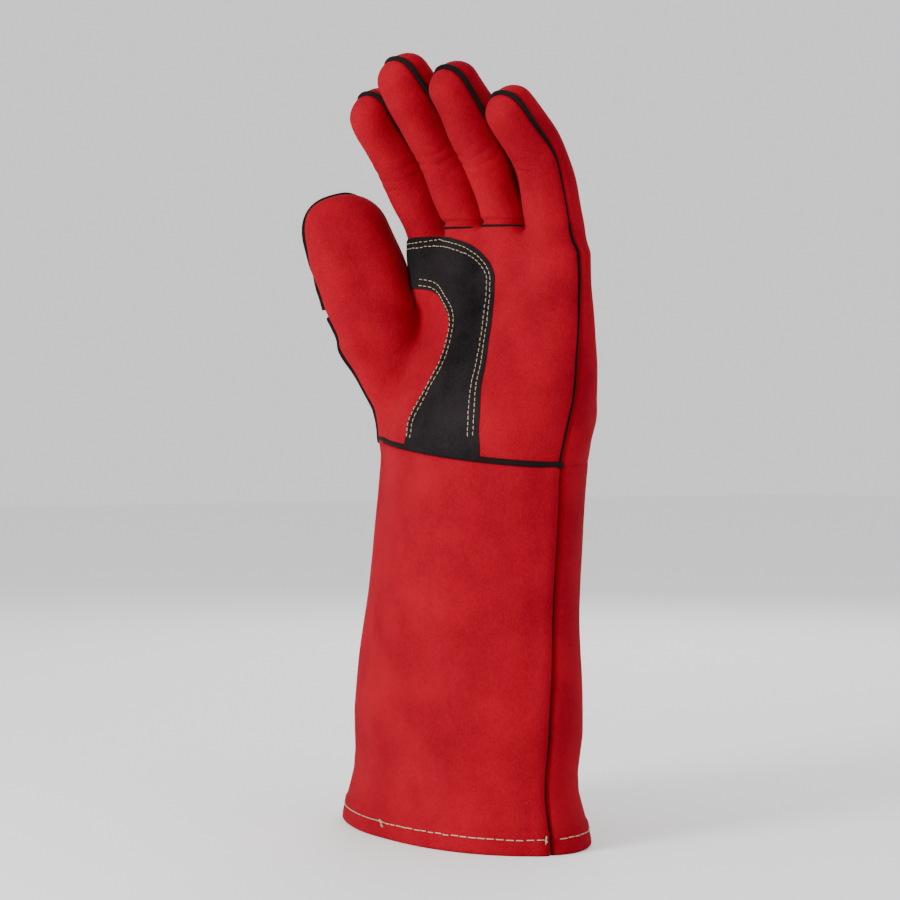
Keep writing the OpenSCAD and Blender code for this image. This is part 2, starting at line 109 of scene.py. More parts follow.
def softness(p):
    """Gentle swells and dips in the leather."""
    return sum(np.sin(p @ k + phase) for k, phase in WAVES) * WAVE_HEIGHT


def rounded(us, cs, ns, m):
    """Distance, near enough, to a rounded solid with half sizes cs and powers ns."""
    t = [(np.abs(u) / c) ** n for u, c, n in zip(us, cs, ns)]
    q = sum(t) + 1e-9
    g = q ** (1 / m)
    steep = sum((g / q / m * n * ti / (np.abs(u) + 1e-4)) ** 2 for u, n, ti in zip(us, ns, t))
    return np.maximum((g - 1) / np.sqrt(steep + 1e-4), -np.minimum(cs[0], cs[1]))


def groove(h, width, depth):
    """The dip along a seam, at distance h from it."""
    return depth * np.exp(-(h / width) ** 2)


WRIST, WRIST_AXIS = JOINT["wrist_bend"]
KNUCKLES = np.array([JOINT[f + "_knuckle"][0] for f in FINGERS])
KNUCKLE_AXIS = JOINT["ring_knuckle"][1]
KNUCKLE_MIDDLE = KNUCKLES.mean(axis=0)
HAND_UP = unit(KNUCKLE_MIDDLE - WRIST)
WRIST_UP = unit(np.cross(WRIST_AXIS, [0, 1, 0]))
CROTCH = 5.0           # the fingers part this far above the knuckles' hinges
PALM_ARCH = 7.0        # how far the middle of the palm bows towards its back
BACK = unit(np.cross(HAND_UP, KNUCKLE_AXIS))
KNUCKLE_X = (KNUCKLES - KNUCKLE_MIDDLE) @ KNUCKLE_AXIS
KNUCKLE_H = (KNUCKLES - KNUCKLE_MIDDLE) @ BACK


def hand_coords(p):
    """Share of the way from wrist to knuckles, place across and place through the hand."""
    q = p - WRIST
    k = np.full(len(p), 0.5)
    for _ in range(3):
        n = unit(WRIST_UP + np.clip(k, 0, 1)[:, None] * (unit(np.cross(KNUCKLE_AXIS, BACK)) - WRIST_UP))
        k = np.sum(q * n, axis=1) / (n @ (KNUCKLE_MIDDLE - WRIST))
    kc = np.clip(k, 0, 1)
    across = unit(WRIST_AXIS + kc[:, None] * (KNUCKLE_AXIS - WRIST_AXIS))
    through = np.cross(n, across)
    d = q - k[:, None] * (KNUCKLE_MIDDLE - WRIST)
    x = np.sum(d * across, axis=1)
    h = np.sum(d * through, axis=1) - PALM_ARCH * np.sin(math.pi * kc)
    return k, x, h - kc ** 2 * np.interp(x, KNUCKLE_X, KNUCKLE_H)


def hand_field(p):
    """The body of the hand: oval at the wrist, flat at the knuckles, with a seam down each side."""
    k, x, h = hand_coords(p)
    kc = np.clip(k, 0, 1)
    a = 64.3 - 3.6 * ease(kc)
    b = 44 - 25.3 * ease(kc * 1.1)
    top = np.maximum((k - 1) * np.linalg.norm(KNUCKLE_MIDDLE - WRIST) + 9 - CROTCH + 4.5, 0)
    power = 2 / (1 - 0.38 * kc)
    f = rounded([x, h, top], [a, b, 13], [2, power, 2], 2)
    beside = np.where(x > 0, 1, ease((p[:, 2] - 262) / 8))
    return f + groove(h, 1.7, 1.5) * beside * (np.abs(x) > 0.7 * a)


# Creases across a digit's front: how far past its middle joint, and how deep.
CREASES = (-6, 0.6), (0.5, 1.0), (6.5, 0.7), (13, 0.4)


class Digit:
    """A stuffed digit round a bent centreline that stays in one plane.

    widths, fronts and backs are half sizes across, to the palm side and to the back, each a list of
    (share of the length, size). sway moves the tip sideways, and blunt is the tip's length in half widths.
    """

    def __init__(self, start, hinge, middle, tip, axis, widths, fronts, backs,
                 blunt=0.95, sway=0.0, creases=0.0):
        self.axis = unit(axis)
        self.up = unit(middle - hinge - (middle - hinge) @ self.axis * self.axis)
        self.back = np.cross(self.up, self.axis)
        self.origin = hinge
        flat = lambda q: np.array([(q - hinge) @ self.up, (q - hinge) @ self.back])
        end = flat(tip)
        ahead = unit(end - flat(middle))
        line = resample(np.array([flat(start), [0, 0], flat(middle), end + 16 * ahead]), 1.5)
        for _ in range(40):
            line[1:-1] = (line[:-2] + 2 * line[1:-1] + line[2:]) / 4
        self.line = line
        self.arc = np.concatenate([[0], np.cumsum(np.linalg.norm(np.diff(line, axis=0), axis=1))])
        self.arc -= self.arc[np.argmin(np.linalg.norm(line, axis=1))]
        self.length = self.arc[np.argmin(np.linalg.norm(line - end, axis=1))]
        self.widths, self.fronts, self.backs = widths, fronts, backs
        self.blunt, self.sway, self.creases = blunt, sway, creases
        self.bend = self.arc[np.argmin(np.linalg.norm(line - flat(middle), axis=1))]
        room = max(self.size(widths, np.array([0.0, 0.5, 1.0])))
        zero = np.zeros(len(line))
        pts = self.place(np.clip(self.arc, None, self.length), zero, zero)
        self.low, self.high = pts.min(axis=0) - room - 12, pts.max(axis=0) + room + 12

    def size(self, sizes, share):
        return np.interp(np.clip(share, 0, 1), [s[0] for s in sizes], [s[1] for s in sizes])

    def place(self, s, x, h):
        """The point at length s, x across and h through."""
        t = np.stack([np.interp(s, self.arc, self.line[:, c]) for c in (0, 1)], axis=1)
        d = unit(np.stack([np.interp(s + 0.5, self.arc, self.line[:, c])
                           - np.interp(s - 0.5, self.arc, self.line[:, c]) for c in (0, 1)], axis=1))
        t = t + np.stack([-d[:, 1], d[:, 0]], axis=1) * np.asarray(h)[:, None]
        x = x + self.sway * np.clip(s / self.length, 0, 1) ** 2
        return self.origin + t[:, :1] * self.up + t[:, 1:] * self.back + x[:, None] * self.axis

    def coords(self, p):
        """Length along, place across and place through the digit."""
        q = p - self.origin
        x = q @ self.axis
        t = np.stack([q @ self.up, q @ self.back], axis=1)
        near = np.concatenate([np.argmin(((c[:, None] - self.line) ** 2).sum(axis=2), axis=1)
                               for c in np.array_split(t, len(t) // 20000 + 1)])
        best = np.full(len(t), 1e9)
        s, h = np.zeros(len(t)), np.zeros(len(t))
        last = len(self.line) - 2
        for first in (np.clip(near - 1, 0, last), np.clip(near, 0, last)):
            a, b = self.line[first], self.line[first + 1]
            along = np.clip(((t - a) * (b - a)).sum(axis=1) / ((b - a) ** 2).sum(axis=1), 0, 1)
            off = t - a - along[:, None] * (b - a)
            dist = np.linalg.norm(off, axis=1)
            side = np.sign((b - a)[:, 0] * off[:, 1] - (b - a)[:, 1] * off[:, 0])
            better = dist < best
            best = np.where(better, dist, best)
            s = np.where(better, self.arc[first] + along * (self.arc[first + 1] - self.arc[first]), s)
            h = np.where(better, side * dist, h)
        return s, x - self.sway * np.clip(s / self.length, 0, 1) ** 2, h

    def field(self, p):
        out = np.full(len(p), 60.0)
        here = np.all((p > self.low) & (p < self.high), axis=1)
        if here.any():
            s, x, h = self.coords(p[here])
            share = s / self.length
            a = self.size(self.widths, share)
            b = np.where(h < 0, self.size(self.fronts, share), self.size(self.backs, share))
            cap = self.blunt * self.size(self.widths, 1.0)
            end = np.maximum(s - self.length + cap, 0)
            f = rounded([x, h, end], [a, b, cap], [2.3, 2.2, 2.3], 2.3)
            if self.creases:
                waver = s - self.bend + 1.2 * np.sin(x * 0.31 + self.bend) + 0.08 * x
                lines = sum(d * np.exp(-((waver - at) / 1.1) ** 2) for at, d in CREASES)
                uneven = 0.6 + 0.4 * np.sin(x * 0.45 + s * 0.2)
                f = f + self.creases * lines * ease((-h - 2) / 6) * uneven
            edge = (np.abs(x) > 0.6 * a) | (end > 0.5 * cap)
            out[here] = f + groove(h, 1.5, 1.1) * edge
        return out

    def seam(self, side, s0, s1, out=0.0):
        """Points along the seam at one side, from s0 to s1."""
        s = np.linspace(s0, s1, max(2, int(abs(s1 - s0))))
        x = side * (self.size(self.widths, s / self.length) + out)
        return self.place(s, x, np.zeros(len(s)))

    def rim(self, s0, s1):
        """The seam up one side from s0, round the tip and down the other side to s1."""
        a = self.size(self.widths, 1.0)
        cap = self.blunt * a
        t = np.linspace(0, math.pi, 40)
        power = 2 / 2.2
        across = -a * np.sign(np.cos(t)) * np.abs(np.cos(t)) ** power
        top = self.place(self.length - cap + cap * np.sin(t) ** power, across, np.zeros(len(t)))
        left = self.seam(-1, s0, self.length - cap - 1)
        right = self.seam(1, self.length - cap - 1, s1)
        return resample(np.vstack([left, top, right]), 1.0)


def far_end(node, origin):
    """The CAD vertex of a node that is farthest from a point."""
    v = np.array([tuple(w.co) for w in frame["nodes"][node].data.vertices]) * MM
    return v[np.argmax(np.linalg.norm(v - origin, axis=1))]


def chain(name):
    """A digit's two hinges, its tip and the axis that it bends on."""
    hinge, axis = JOINT[name + ("_base" if name == "thumb" else "_knuckle")]
    middle = JOINT[name + "_middle"][0]
    tip = far_end(name + "_tip_front", middle)
    tip = tip - (tip - middle) @ unit(axis) * unit(axis)
    return hinge, middle, tip, axis


SHAPE = {}
SWELL = {"index": 4, "middle": 3.5, "ring": 1.5, "little": 0.5}
for name in FINGERS:
    hinge, middle, tip, axis = chain(name)
    slim = 0.95 if name == "little" else 1.0
    swell = SWELL[name]
    SHAPE[name] = Digit(
        hinge - 24 * HAND_UP, hinge, middle, tip, axis,
        [(0, 13.2 * slim), (0.5, 12.9 * slim), (1, 11.4 * slim)],
        [(0, 15 * slim), (0.45, 13.6 * slim + swell), (0.8, 13.2 * slim + swell / 2), (1, 12.4 * slim)],
        [(0, 15 * slim), (0.5, 14 * slim), (1, 12.6 * slim)], creases=0.55)
hinge, middle, tip, axis = chain("thumb")
THUMB_HINGE = hinge
SHAPE["thumb"] = Digit(
    hinge - 2 * unit(middle - hinge), hinge, middle, tip, -axis,
    [(0, 19), (0.1, 22), (0.25, 23.6), (0.5, 23.4), (1, 21.8)],
    [(0, 15.5), (0.6, 15.5), (1, 13)],
    [(0, 15), (0.6, 14.5), (1, 13)], blunt=1.0, sway=-2.8, creases=0.25)
# The wing of leather that joins the thumb to the heel of the hand.
WING_FOOT = WRIST + np.array([-46, -21, 2.0])
WING_UP = unit(hinge - WING_FOOT)
WING = Digit(
    WING_FOOT, WING_FOOT, (WING_FOOT + hinge) / 2, hinge + 10 * WING_UP,
    -axis - (-axis @ WING_UP) * WING_UP,
    [(0, 4), (0.08, 6), (0.3, 8.4), (0.53, 14.8), (0.66, 18.8), (0.79, 22.8), (1, 24)],
    [(0, 8), (0.5, 13), (0.8, 15.5), (1, 15.5)],
    [(0, 12), (1, 15)])

# The height where each digit's leather takes over from the hand's, and the band where its tip bends.
PART = {f: JOINT[f + "_knuckle"][0][2] + CROTCH + 0.5 for f in FINGERS}
PART["thumb"] = THUMB_HINGE[2] + 10.5
BEND_REACH = 9
BEND = {f: (JOINT[f + "_middle"][0][2] - BEND_REACH, JOINT[f + "_middle"][0][2] + BEND_REACH)
        for f in DIGITS}


def finger_field(name, hand, p):
    """A finger with the hand it grows from."""
    return smin(hand, SHAPE[name].field(p), 5.0)


def thumb_field(p):
    """The thumb with its wing."""
    return smin(SHAPE["thumb"].field(p), WING.field(p), 6.0)


def palm_field(p):
    """The hand without its thumb."""
    hand = hand_field(p)
    f = hand
    for name in FINGERS:
        f = np.minimum(f, finger_field(name, hand, p))
    return f


def base_seam(p):
    """The crease where the fronts of the two middle fingers are sewn to the palm."""
    z = p[:, 2] - (KNUCKLES[1, 2] + 7.5 - 0.04 * p[:, 0])
    span = ease((p[:, 0] + 22) / 5) * ease((39 - p[:, 0]) / 5) * (p[:, 1] < KNUCKLE_MIDDLE[1] - 4)
    return 1.3 * np.exp(-(z / 1.2) ** 2) * span - 0.6 * np.exp(-((z + 4) / 3) ** 2) * span


def hand_surface(p):
    """The hand's leather, with the fingers' and the thumb's bases, calm at the wrist seam."""
    thumb = np.maximum(thumb_field(p), p[:, 2] - PART["thumb"] - 3)
    f = smin(palm_field(p), thumb, 3 + 7 * ease((PART["thumb"] - p[:, 2]) / 30))
    calm = ease(((p - WRIST) @ WRIST_UP + 1) / 18)
    return f + softness(p) * calm + base_seam(p)


def digit_surface(name):
    """The leather of one digit."""
    def field(p):
        hand = hand_field(p)
        if name == "thumb":
            f = thumb_field(p)
            gap = 0.9 - hand - 5 * np.maximum(PART["thumb"] + 0.5 - p[:, 2], 0)
            f = np.where(p[:, 2] > PART["thumb"] + 2, np.maximum(f, gap), smin(f, hand, 3.0))
        else:
            f = finger_field(name, hand, p)
        return f + softness(p) + base_seam(p)
    return field


# ---- Meshes from fields: (points, normals, triangles) ----

def slope(field, p, h=0.35):
    """The field's slope, which points outwards."""
    g = np.zeros_like(p)
    for c in range(3):
        d = np.zeros(3)
        d[c] = h
        g[:, c] = (field(p + d) - field(p - d)) / (2 * h)
    return g


def settle(field, p, rounds=3):
    """Moves points onto the field's surface."""
    for _ in range(rounds):
        g = slope(field, p)
        step = (field(p) / np.maximum((g * g).sum(axis=1), 0.05))[:, None] * g
        far = np.maximum(np.linalg.norm(step, axis=1, keepdims=True) / 2.0, 1)
        p = p - step / far
    return p


def skin(field, low, high, cell, depth=0.0):
    """The surface where the field is -depth, by surface nets on a grid, then relaxed."""
    axes = [np.arange(low[c], high[c] + cell, cell) for c in range(3)]
    shape = tuple(len(a) for a in axes)
    grid = np.stack(np.meshgrid(*axes, indexing="ij"), axis=-1).reshape(-1, 3)
    blocks = np.array_split(grid, len(grid) // 150000 + 1)
    f = np.concatenate([field(g) for g in blocks]).reshape(shape) + depth
    inside = f < 0
    cells = tuple(n - 1 for n in shape)
    corners = [(i, j, k) for i in (0, 1) for j in (0, 1) for k in (0, 1)]

    def corner(a, c):
        return a[c[0]:c[0] + cells[0], c[1]:c[1] + cells[1], c[2]:c[2] + cells[2]]

    count = sum(corner(inside, c).astype(int) for c in corners)
    active = np.argwhere((count > 0) & (count < 8))
    where = np.full(cells, -1)
    where[tuple(active.T)] = np.arange(len(active))
    total, hits = np.zeros((len(active), 3)), np.zeros(len(active))
    for a in corners:
        for c in range(3):
            if a[c]:
                continue
            b = tuple(1 if n == c else a[n] for n in range(3))
            fa = f[tuple((active + a).T)]
            fb = f[tuple((active + b).T)]
            cross = (fa < 0) != (fb < 0)
            t = np.where(cross, fa / np.where(cross, fa - fb, 1), 0)
            at = np.array(a, float) + t[:, None] * (np.array(b) - np.array(a))
            total += at * cross[:, None]
            hits += cross
    points = np.array(low) + (active + total / hits[:, None]) * cell
    quads = []
    for a in range(3):
        b, c = (a + 1) % 3, (a + 2) % 3
        lead = [slice(None)] * 3
        lead[a] = slice(0, shape[a] - 1)
        follow = [slice(None)] * 3
        follow[a] = slice(1, shape[a])
        change = inside[tuple(lead)] != inside[tuple(follow)]
        at = np.argwhere(change)
        at = at[(at[:, b] > 0) & (at[:, c] > 0) & (at[:, b] < shape[b] - 1) & (at[:, c] < shape[c] - 1)]
        ring = []
        for db, dc in ((-1, -1), (0, -1), (0, 0), (-1, 0)):
            q = at.copy()
            q[:, b] += db
            q[:, c] += dc
            ring.append(where[tuple(q.T)])
        ring = np.stack(ring, axis=1)
        back = ~inside[tuple(at.T)]
        ring[back] = ring[back][:, ::-1]
        quads.append(ring)
    quads = np.vstack(quads)
    d1 = np.linalg.norm(points[quads[:, 0]] - points[quads[:, 2]], axis=1)
    d2 = np.linalg.norm(points[quads[:, 1]] - points[quads[:, 3]], axis=1)
    short = d1 <= d2
    faces = np.vstack([quads[short][:, [0, 1, 2]], quads[short][:, [0, 2, 3]],
                       quads[~short][:, [0, 1, 3]], quads[~short][:, [1, 2, 3]]])
    level = lambda p: field(p) + depth
    for _ in range(2):
        edges = np.vstack([quads[:, [0, 1]], quads[:, [1, 2]], quads[:, [2, 3]], quads[:, [3, 0]]])
        near, n = np.zeros_like(points), np.zeros(len(points))
        for u, v in ((0, 1), (1, 0)):
            np.add.at(near, edges[:, u], points[edges[:, v]])
            np.add.at(n, edges[:, u], 1)
        points = settle(level, 0.5 * points + 0.5 * near / np.maximum(n, 1)[:, None], 2)
    return points, unit(slope(level, points)), faces


def cut(mesh, value):
    """The part of a mesh where a value at its points is negative, cut along the zero line."""
    points, normals, faces = mesh
    keep = value < 0
    n_in = keep[faces].sum(axis=1)
    whole = faces[n_in == 3]
    one, two = faces[n_in == 1], faces[n_in == 2]
    roll = lambda f, first: np.take_along_axis(f, (first[:, None] + np.arange(3)) % 3, axis=1)
    one = roll(one, np.argmax(keep[one], axis=1)) if len(one) else one
    two = roll(two, np.argmin(keep[two], axis=1)) if len(two) else two
    edges = np.vstack([one[:, [0, 1]], one[:, [0, 2]], two[:, [0, 1]], two[:, [0, 2]]])
    if len(edges):
        low, high = edges.min(axis=1), edges.max(axis=1)
        key, index = np.unique(low * len(points) + high, return_inverse=True)
        low, high = key // len(points), key % len(points)
        t = (value[low] / (value[low] - value[high]))[:, None]
        extra = points[low] + t * (points[high] - points[low])
        turned = unit(normals[low] + t * (normals[high] - normals[low]))
        index = index.reshape(-1) + len(points)
        a, b = len(one), len(two)
        ab1, ac1 = index[:a], index[a:2 * a]
        ab2, ac2 = index[2 * a:2 * a + b], index[2 * a + b:]
        faces = np.vstack([whole, np.stack([one[:, 0], ab1, ac1], 1),
                           np.stack([ab2, two[:, 1], two[:, 2]], 1), np.stack([ab2, two[:, 2], ac2], 1)])
        points, normals = np.vstack([points, extra]), np.vstack([normals, turned])
    else:
        faces = whole
    used, index = np.unique(faces, return_inverse=True)
    return points[used], normals[used], index.reshape(-1, 3)


def thicken(mesh, thick, lift=0.0):
    """A closed sheet from a surface: its outer side lift above it, thick through."""
    points, normals, faces = mesh
    n = len(points)
    outer = points + normals * np.reshape(lift, (-1, 1))
    inner = outer - normals * np.reshape(thick, (-1, 1))
    edges = np.vstack([faces[:, [0, 1]], faces[:, [1, 2]], faces[:, [2, 0]]])
    forward = edges[:, 0] * n + edges[:, 1]
    open_edges = edges[~np.isin(forward, edges[:, 1] * n + edges[:, 0])]
    a, b = open_edges.T
    rim = np.vstack([np.stack([b, a, a + n], 1), np.stack([b, a + n, b + n], 1)])
    every = np.vstack([outer, inner])
    flat = np.cross(every[rim[:, 1]] - every[rim[:, 0]], every[rim[:, 2]] - every[rim[:, 0]])
    flat = flat / np.maximum(np.linalg.norm(flat, axis=1, keepdims=True), 1e-9)
    loops = np.concatenate([normals[faces], -normals[faces[:, ::-1]], np.repeat(flat[:, None], 3, axis=1)])
    return every, np.vstack([faces, faces[:, ::-1] + n, rim]), loops


def bare(mesh):
    """A mesh as it is, ready for piece()."""
    points, normals, faces = mesh
    return points, faces, normals[faces]


def join(parts):
    """Several solids as one."""
    points, faces, loops, base = [], [], [], 0
    for p, f, n in parts:
        points.append(p)
        faces.append(f + base)
        loops.append(n)
        base += len(p)
    return np.vstack(points), np.vstack(faces), np.concatenate(loops)


def piece(name, solid, material, nodes=()):
    """A Blender object in place of the named CAD nodes."""
    points, faces, loops = solid
    mesh = bpy.data.meshes.new(name)
    mesh.from_pydata((points / MM).tolist(), [], faces.tolist())
    mesh.polygons.foreach_set("use_smooth", np.ones(len(faces), bool))
    mesh.normals_split_custom_set(loops.reshape(-1, 3).tolist())
    mesh.materials.append(material)
    obj = bpy.data.objects.new(name, mesh)
    bpy.context.scene.collection.objects.link(obj)
    if nodes:
        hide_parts(*nodes)
    return obj


def wrist_bend(obj):
    """Bakes the object's transform into its mesh; nothing is bent."""
    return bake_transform(obj)


def bend_base(obj, digit):
    """Bakes the object's transform into its mesh; nothing is bent."""
    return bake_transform(obj)


def bend_tip(obj, digit):
    """Bakes the object's transform into its mesh; the digit's bend band is looked up, but nothing is bent.
    """
    low, high = BEND[digit]
    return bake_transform(obj)


def tube(points, radius, sides=10):
    """A round cord along a line, rounded over at its ends."""
    points = np.asarray(points, float)
    radius = np.broadcast_to(radius, len(points)).astype(float)
    d = unit(np.gradient(points, axis=0))
    ends = [(points[0] - d[0] * radius[0] * t, radius[0] * math.sqrt(1 - t * t)) for t in (0.98, 0.7)]
    tail = [(points[-1] + d[-1] * radius[-1] * t, radius[-1] * math.sqrt(1 - t * t)) for t in (0.7, 0.98)]
    points = np.vstack([[e[0] for e in ends], points, [e[0] for e in tail]])
    radius = np.concatenate([[e[1] for e in ends], radius, [e[1] for e in tail]])
    d = np.vstack([d[:1], d[:1], d, d[-1:], d[-1:]])
    side = np.zeros_like(points)
    ref = np.cross(d[0], [0.3, 0.5, 0.8])
    for i in range(len(points)):
        ref = ref - ref @ d[i] * d[i]
        ref = ref / np.linalg.norm(ref)
        side[i] = ref
    up = np.cross(d, side)
    t = np.arange(sides) * 2 * math.pi / sides
    around = np.cos(t)[None, :, None] * side[:, None] + np.sin(t)[None, :, None] * up[:, None]
    v = points[:, None] + around * radius[:, None, None]
    rows = len(points)
    i, j = np.meshgrid(np.arange(rows - 1), np.arange(sides), indexing="ij")
    i, j = i.ravel(), j.ravel()
    a, b = i * sides + j, i * sides + (j + 1) % sides
    c, e = b + sides, a + sides
    faces = np.vstack([np.stack([a, b, c], 1), np.stack([a, c, e], 1)])
    v, n = v.reshape(-1, 3), around.reshape(-1, 3).copy()
    first, last = len(v), len(v) + 1
    v = np.vstack([v, points[:1] - d[:1] * radius[0] * 0.2, points[-1:] + d[-1:] * radius[-1] * 0.2])
    n = np.vstack([n, -d[:1], d[-1:]])
    k, after, row = np.arange(sides), (np.arange(sides) + 1) % sides, (rows - 1) * sides
    faces = np.vstack([faces, np.stack([np.full(sides, first), after, k], 1),
                       np.stack([np.full(sides, last), row + k, row + after], 1)])
    return v, n, faces


def stitches(points, normals, pitch, share=0.62, radius=0.28, lift=0.2):
    """Arched stitches along a line on a surface."""
    data = resample(np.hstack([points, normals]), 0.4)
    p, n = data[:, :3], unit(data[:, 3:])
    d = np.concatenate([[0], np.cumsum(np.linalg.norm(np.diff(p, axis=0), axis=1))])
    parts = []
    at = pitch * 0.4
    while at + 1 < d[-1]:
        length = pitch * share * rng.uniform(0.85, 1.12)
        s = np.linspace(at, min(at + length, d[-1]), 5)
        arch = np.array([-0.5, 0.2, 0.45, 0.2, -0.5]) * radius * 1.6 + lift
        q = np.stack([np.interp(s, d, p[:, c]) for c in range(3)], 1)
        m = unit(np.stack([np.interp(s, d, n[:, c]) for c in range(3)], 1))
        wander = np.cross(unit(q[-1] - q[0]), m[2]) * rng.normal(0, 0.09)
        parts.append(bare(tube(q + m * arch[:, None] + wander, radius, THREAD_SIDES)))
        at += pitch * rng.uniform(0.95, 1.05)
    return join(parts)


# ---- Materials ----

def nap(name, dark, light, grain, sheen, rough=0.93):
    """Brushed leather: colour drifts softly, and a fine nap catches the light."""
    m = bpy.data.materials.new(name)
    m.use_nodes = True
    t = m.node_tree
    t.nodes.clear()
    new, link = t.nodes.new, t.links.new
    out, base = new("ShaderNodeOutputMaterial"), new("ShaderNodeBsdfPrincipled")
    coord = new("ShaderNodeTexCoord")

    def noise(scale, detail, roughness):
        n = new("ShaderNodeTexNoise")
        n.inputs["Scale"].default_value = scale
        n.inputs["Detail"].default_value = detail
        n.inputs["Roughness"].default_value = roughness
        link(coord.outputs["Object"], n.inputs["Vector"])
        return n

    broad, fine = noise(28, 4, 0.6), noise(900, 5, 0.75)
    mix = new("ShaderNodeMath")
    mix.operation = "MULTIPLY_ADD"
    mix.inputs[1].default_value = 0.45
    link(fine.outputs["Fac"], mix.inputs[0])
    half = new("ShaderNodeMath")
    half.operation = "MULTIPLY"
    half.inputs[1].default_value = 0.55
    link(broad.outputs["Fac"], half.inputs[0])
    link(half.outputs[0], mix.inputs[2])
    ramp = new("ShaderNodeValToRGB")
    ramp.color_ramp.elements[0].position = 0.36
    ramp.color_ramp.elements[0].color = (*dark, 1)
    ramp.color_ramp.elements[1].position = 0.64
    ramp.color_ramp.elements[1].color = (*light, 1)
    link(mix.outputs[0], ramp.inputs["Fac"])
    link(ramp.outputs["Color"], base.inputs["Base Color"])
    base.inputs["Roughness"].default_value = rough
    base.inputs["Specular IOR Level"].default_value = 0.06
    base.inputs["Sheen Weight"].default_value = sheen
    base.inputs["Sheen Roughness"].default_value = 0.55
    base.inputs["Sheen Tint"].default_value = (*[min(1, c * 1.6 + 0.04) for c in light], 1)
    fuzz = noise(grain, 6, 0.8)
    folds = noise(160, 3, 0.5)
    bump = new("ShaderNodeBump")
    bump.inputs["Strength"].default_value = 0.8
    bump.inputs["Distance"].default_value = 0.0008
    link(fuzz.outputs["Fac"], bump.inputs["Height"])
    soft = new("ShaderNodeBump")
    soft.inputs["Strength"].default_value = 0.35
    soft.inputs["Distance"].default_value = 0.0012
    link(folds.outputs["Fac"], soft.inputs["Height"])
    link(bump.outputs["Normal"], soft.inputs["Normal"])
    link(soft.outputs["Normal"], base.inputs["Normal"])
    link(base.outputs["BSDF"], out.inputs["Surface"])
    return m


RED = nap("red_leather", (0.195, 0.0011, 0.0078), (0.325, 0.0020, 0.0122), 1400, 0.05)
PATCH = nap("black_leather", (0.002, 0.0015, 0.0016), (0.018, 0.014, 0.015), 1300, 0.05)
WELT = nap("welt", (0.004, 0.002, 0.002), (0.014, 0.007, 0.007), 1600, 0.04, 0.75)
LINEN = nap("lining", (0.38, 0.35, 0.29), (0.56, 0.52, 0.45), 1000, 0.2)
THREAD = nap("thread", (0.36, 0.28, 0.18), (0.56, 0.47, 0.33), 3000, 0.05, 0.6)


# ---- Hand ----

low = np.array([-104, -62, WRIST[2] - 14])
high = np.array([72, 66, max(PART[f] for f in FINGERS) + 4])
hand = skin(hand_surface, low, high, CELL)


def hand_limit(p):
    """Positive above the places where the digits' own pieces begin."""
    fields = np.stack([SHAPE[f].field(p) for f in FINGERS])
    tops = np.array([PART[f] for f in FINGERS])[np.argmin(fields, axis=0)]
    over = p[:, 2] - tops
    thumb = np.minimum(p[:, 2] - PART["thumb"], palm_field(p) - SHAPE["thumb"].field(p))
    return np.maximum(over, thumb)


def cuff_top(p):
    """Height above the seam between cuff and hand."""
    return (p - WRIST) @ WRIST_UP


TUCK = 3.5             # the hand reaches this far down inside the cuff
hand = cut(hand, hand_limit(hand[0]))
hand = cut(hand, -TUCK - cuff_top(hand[0]))

# The patch's outline in x and z, seen from the palm: up its little-finger side, then down the other.
PATCH_EDGE = curve([
    (43, 180), (41.6, 192), (37.7, 209), (33.3, 224), (29.7, 238), (27, 249), (25.2, 259), (25, 269),
    (24.2, 277), (20, 284), (11, 290.5), (-4, 296), (-18, 298), (-34, 298.4), (-70, 297)])
PATCH_INNER = curve([
    (-70, 274), (-45, 273), (-28, 271.4), (-18, 266), (-8, 258), (-4.2, 248), (-3.2, 235), (-5, 220),
    (-8, 205), (-6.5, 196), (-6, 180)])
PATCH_OUTLINE = np.vstack([PATCH_EDGE, PATCH_INNER])


def outline_distance(x, z, line):
    """Signed distance to a closed line in x and z, negative inside."""
    a, b = line, np.roll(line, -1, axis=0)
    best, odd = np.full(len(x), 1e9), np.zeros(len(x), bool)
    for (ax, az), (bx, bz) in zip(a, b):
        ex, ez = bx - ax, bz - az
        t = np.clip(((x - ax) * ex + (z - az) * ez) / (ex * ex + ez * ez + 1e-12), 0, 1)
        best = np.minimum(best, np.hypot(x - ax - t * ex, z - az - t * ez))
        odd ^= ((az > z) != (bz > z)) & (x < ax + (z - az) * ex / (ez + 1e-12))
    return np.where(odd, -best, best)


def patch_value(p):
    """Negative where the patch lies, on the palm side only."""
    h = hand_coords(p)[2]
    return np.maximum(outline_distance(p[:, 0], p[:, 2], PATCH_OUTLINE), h + 3)


OVERLAP = 2.5          # the red leather reaches this far under the patch
inside_patch = patch_value(hand[0])
skin_part = cut(hand, -(inside_patch + OVERLAP))
patch_part = cut(hand, inside_patch)
patch_part = cut(patch_part, 0.4 - cuff_top(patch_part[0]))
obj = piece("hand_leather", thicken(skin_part, LEATHER), RED,
            ["palm_panel", "back_panel", "thumb_wing_front", "thumb_wing_back"])
wrist_bend(obj)
edge_fade = np.clip(-patch_value(patch_part[0]) / 1.2, 0, 1)
obj = piece("palm_patch", thicken(patch_part, 1.5, 0.35 + 0.75 * np.sqrt(edge_fade)), PATCH,
            ["thumb_crotch_patch"])
wrist_bend(obj)


def palm_points(line):
    """Points of a line in x and z laid on the palm, with their normals."""
    field = lambda p: palm_field(p) + softness(p)
    p = np.stack([line[:, 0], np.full(len(line), 12.0), line[:, 1]], axis=1)
    for _ in range(90):
        f = field(p)
        p[:, 1] -= np.where(f < -0.05, np.minimum(np.maximum(-f * 0.6, 0.05), 1.5), 0)
    return p, unit(slope(field, p))


def beside(line, distance):
    """The line moved sideways."""
    d = unit(np.gradient(line, axis=0))
    return line + distance * np.stack([d[:, 1], -d[:, 0]], axis=1)


